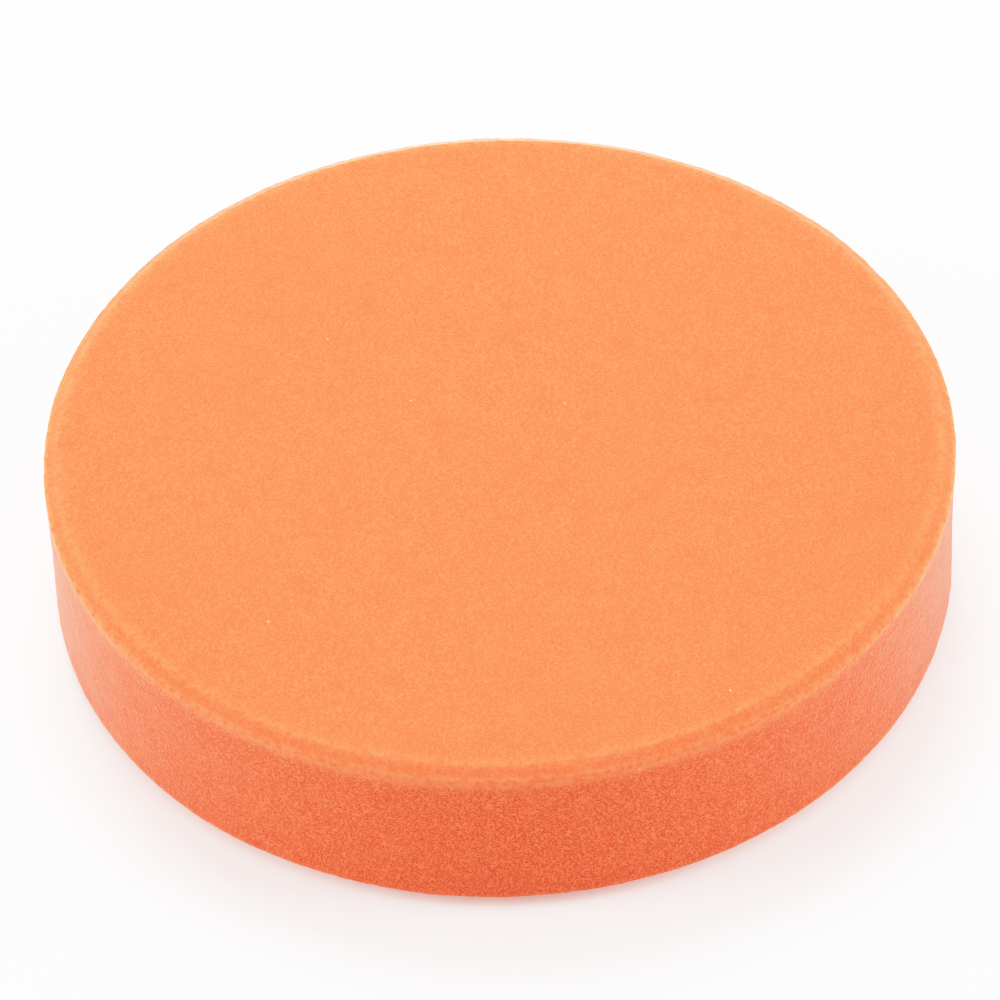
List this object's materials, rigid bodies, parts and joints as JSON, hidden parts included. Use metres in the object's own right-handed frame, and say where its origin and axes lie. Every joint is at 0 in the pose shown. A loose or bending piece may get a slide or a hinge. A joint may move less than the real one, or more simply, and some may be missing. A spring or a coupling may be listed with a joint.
{
  "type": "polishing pad",
  "caption": "Thick round foam polishing pad with a softly bevelled working face and a loop-fabric back that grips a hook-faced backing plate.",
  "frame": {"origin": "centre of the loop face, which is the pad's underside", "axes": "+Z along the pad's own axis, from the loop face to the working face; X and Y are any two square directions across it"},
  "size_m": [0.16, 0.16, 0.0335],
  "materials": {
    "foam": "matte open-cell polyurethane foam, orange",
    "film": "hot-melt film, waxy and slightly clear",
    "ground": "warp-knitted polyester, off-white",
    "pile": "brushed polyester loops, off-white"
  },
  "bodies": {
    "root": {"foam_disc": "foam", "bond_film": "film", "loop_ground": "ground", "loop_pile": "pile"}
  },
  "joints": []
}
